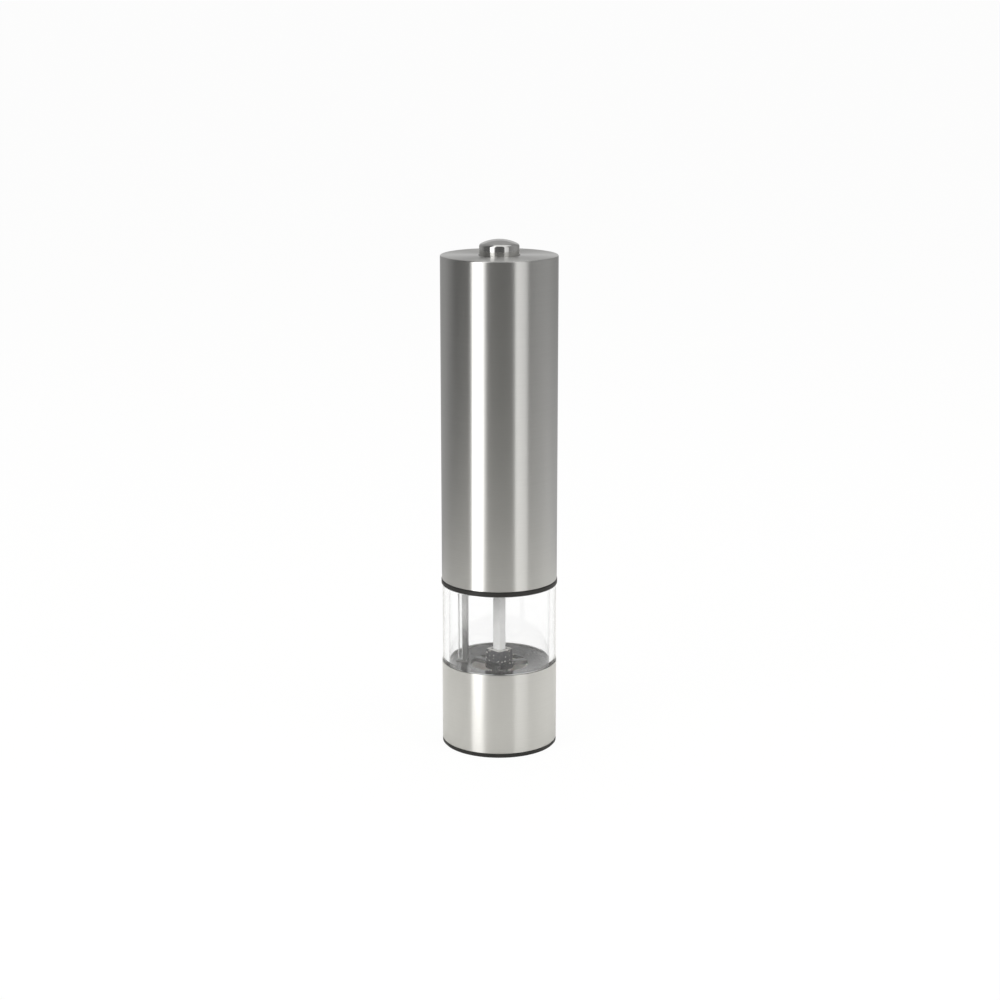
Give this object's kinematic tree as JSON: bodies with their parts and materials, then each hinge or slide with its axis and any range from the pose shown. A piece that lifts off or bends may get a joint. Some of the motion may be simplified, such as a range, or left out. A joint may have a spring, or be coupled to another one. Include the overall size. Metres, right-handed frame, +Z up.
{
  "type": "electric pepper mill",
  "caption": "Slim round electric pepper mill: push button on a long brushed steel cover, clear pepper chamber, steel base, geared motor drive and conical burrs.",
  "frame": {"origin": "centre of the foot ring's standing face", "axes": "+Z up along the mill's axis, -Y towards the front that the picture shows"},
  "size_m": [0.0504, 0.0504, 0.2214],
  "materials": {
    "brushed_steel": "circumferential brushing",
    "polished_steel": "polished",
    "black_rubber": "fine matt",
    "seal_rubber": "smooth",
    "black_plastic": "fine moulded texture",
    "collar_plastic": "satin",
    "knob_plastic": "satin grips",
    "tray_plastic": "fine moulded texture",
    "hub_plastic": "dusty satin",
    "floor_plastic": "satin, dusted with pepper",
    "clear_acrylic": "polished clear",
    "conduit_plastic": "translucent",
    "ceramic": "fired ceramic",
    "screw_steel": "zinc plated",
    "wire_sleeve": "smooth insulation",
    "brass": "plain",
    "spring_brass": "rolled strip",
    "lamp_resin": "clear resin",
    "shaft_steel": "drawn bar",
    "spring_steel": "drawn wire",
    "washer_steel": "stamped",
    "bronze": "sintered",
    "gear_plastic": "moulded acetal",
    "plate_steel": "stamped",
    "can_steel": "plated",
    "magnet_ferrite": "sintered ferrite",
    "carbon": "pressed carbon",
    "cell_sleeve": "printed sleeve, bare of any mark",
    "contact_plate": "nickel plated",
    "lamination_steel": "stacked laminations",
    "copper": "enamelled wire and bars",
    "carrier_plastic": "moulded acetal",
    "carrier_steel": "sintered steel"
  },
  "bodies": {
    "base": {"base_sleeve": "brushed_steel", "foot_ring": "black_rubber", "base_core": "black_plastic", "pepper_chamber": "clear_acrylic", "grinder_floor": "floor_plastic", "outer_burr": "ceramic", "burr_retainer": "black_plastic", "retainer_screws": "screw_steel", "lamp_conduit": "conduit_plastic", "lamp_wires": "wire_sleeve", "lamp_contacts": "brass", "lamp": "lamp_resin", "lamp_holder": "black_plastic"},
    "shaft": {"drive_shaft": "shaft_steel", "feed_hub": "hub_plastic", "burr_spring": "spring_steel"},
    "burr": {"inner_burr": "ceramic", "thrust_washer": "washer_steel"},
    "knob": {"adjust_knob": "knob_plastic"},
    "drive_unit": {"collar": "collar_plastic", "rim_seal": "seal_rubber", "cover_seal": "seal_rubber", "plain_bushes": "bronze", "gearbox_ring": "gear_plastic", "gearbox_screws": "screw_steel", "motor_plate": "plate_steel", "motor_housing": "tray_plastic", "motor_can": "can_steel", "motor_magnets": "magnet_ferrite", "motor_end_cap": "black_plastic", "motor_brushes": "carbon", "motor_terminals": "brass", "unit_screws": "screw_steel", "battery_tray": "tray_plastic", "battery_cells": "cell_sleeve", "battery_contacts": "contact_plate", "battery_springs": "spring_steel", "switch_base": "black_plastic", "switch_contact": "brass", "unit_wires": "wire_sleeve", "lamp_pins": "brass"},
    "leaf": {"switch_leaf": "spring_brass"},
    "rotor": {"motor_shaft": "shaft_steel", "armature_core": "lamination_steel", "armature_windings": "copper", "commutator": "copper", "motor_pinion": "brass"},
    "carrier_1": {"carrier_1": "carrier_plastic"},
    "carrier_2": {"carrier_2": "carrier_steel"},
    "cover": {"cover_tube": "brushed_steel", "button_guide": "black_plastic", "button_spring": "spring_steel"},
    "button": {"push_button": "polished_steel", "button_stem": "black_plastic"},
    "planet_1a": {"planet_1a": "gear_plastic"},
    "planet_2a": {"planet_2a": "gear_plastic"},
    "planet_1b": {"planet_1b": "gear_plastic"},
    "planet_2b": {"planet_2b": "gear_plastic"},
    "planet_1c": {"planet_1c": "gear_plastic"},
    "planet_2c": {"planet_2c": "gear_plastic"}
  },
  "joints": [
    {"name": "unit_lift", "type": "slide", "parent": "base", "child": "drive_unit", "axis": [0, 0, 1], "range_m": [0, 0.06]},
    {"name": "cover_lift", "type": "slide", "parent": "drive_unit", "child": "cover", "axis": [0, 0, 1], "range_m": [0, 0.135]},
    {"name": "button_press", "type": "slide", "parent": "cover", "child": "button", "axis": [0, 0, -1], "range_m": [0, 0.0025], "stiffness_N_per_m": 600, "springref_m": -0.002, "deforming": ["button_spring"]},
    {"name": "leaf_bend", "type": "hinge", "parent": "drive_unit", "child": "leaf", "pos_m": [-0.012, 0, 0.20115], "axis": [0, 1, 0], "range_deg": [0, 12.2]},
    {"name": "drive_spin", "type": "hinge", "parent": "base", "child": "shaft", "pos_m": [0, 0, 0.037], "axis": [0, 0, 1], "continuous": true},
    {"name": "grind_adjust", "type": "slide", "parent": "shaft", "child": "burr", "axis": [0, 0, 1], "range_m": [-0.0006, 0.0006], "deforming": ["burr_spring"]},
    {"name": "knob_turn", "type": "hinge", "parent": "burr", "child": "knob", "pos_m": [0, 0, 0.014], "axis": [0, 0, 1], "range_deg": [-270.5, 270.5]},
    {"name": "carrier_2_spin", "type": "hinge", "parent": "drive_unit", "child": "carrier_2", "pos_m": [0, 0, 0.081], "axis": [0, 0, 1], "continuous": true},
    {"name": "carrier_1_spin", "type": "hinge", "parent": "drive_unit", "child": "carrier_1", "pos_m": [0, 0, 0.088], "axis": [0, 0, 1], "continuous": true},
    {"name": "rotor_spin", "type": "hinge", "parent": "drive_unit", "child": "rotor", "pos_m": [0, 0, 0.11], "axis": [0, 0, 1], "continuous": true},
    {"name": "planet_1a_spin", "type": "hinge", "parent": "carrier_1", "child": "planet_1a", "pos_m": [0.0081, 0, 0.0912], "axis": [0, 0, 1], "continuous": true},
    {"name": "planet_1b_spin", "type": "hinge", "parent": "carrier_1", "child": "planet_1b", "pos_m": [-0.00405, 0.00701, 0.0912], "axis": [0, 0, 1], "continuous": true},
    {"name": "planet_1c_spin", "type": "hinge", "parent": "carrier_1", "child": "planet_1c", "pos_m": [-0.00405, -0.00701, 0.0912], "axis": [0, 0, 1], "continuous": true},
    {"name": "planet_2a_spin", "type": "hinge", "parent": "carrier_2", "child": "planet_2a", "pos_m": [0.0081, 0, 0.0845], "axis": [0, 0, 1], "continuous": true},
    {"name": "planet_2b_spin", "type": "hinge", "parent": "carrier_2", "child": "planet_2b", "pos_m": [-0.00405, 0.00701, 0.0845], "axis": [0, 0, 1], "continuous": true},
    {"name": "planet_2c_spin", "type": "hinge", "parent": "carrier_2", "child": "planet_2c", "pos_m": [-0.00405, -0.00701, 0.0845], "axis": [0, 0, 1], "continuous": true}
  ],
  "couplings": [
    {"joint": "leaf_bend", "follows": "button_press", "rad_per_m": 83.948},
    {"joint": "knob_turn", "follows": "grind_adjust", "rad_per_m": 7854},
    {"joint": "carrier_2_spin", "follows": "drive_spin", "ratio": 1},
    {"joint": "carrier_1_spin", "follows": "drive_spin", "ratio": 4.5},
    {"joint": "rotor_spin", "follows": "drive_spin", "ratio": 20.25},
    {"joint": "planet_1a_spin", "follows": "drive_spin", "ratio": -12.6},
    {"joint": "planet_1b_spin", "follows": "drive_spin", "ratio": -12.6},
    {"joint": "planet_1c_spin", "follows": "drive_spin", "ratio": -12.6},
    {"joint": "planet_2a_spin", "follows": "drive_spin", "ratio": -2.8},
    {"joint": "planet_2b_spin", "follows": "drive_spin", "ratio": -2.8},
    {"joint": "planet_2c_spin", "follows": "drive_spin", "ratio": -2.8}
  ]
}
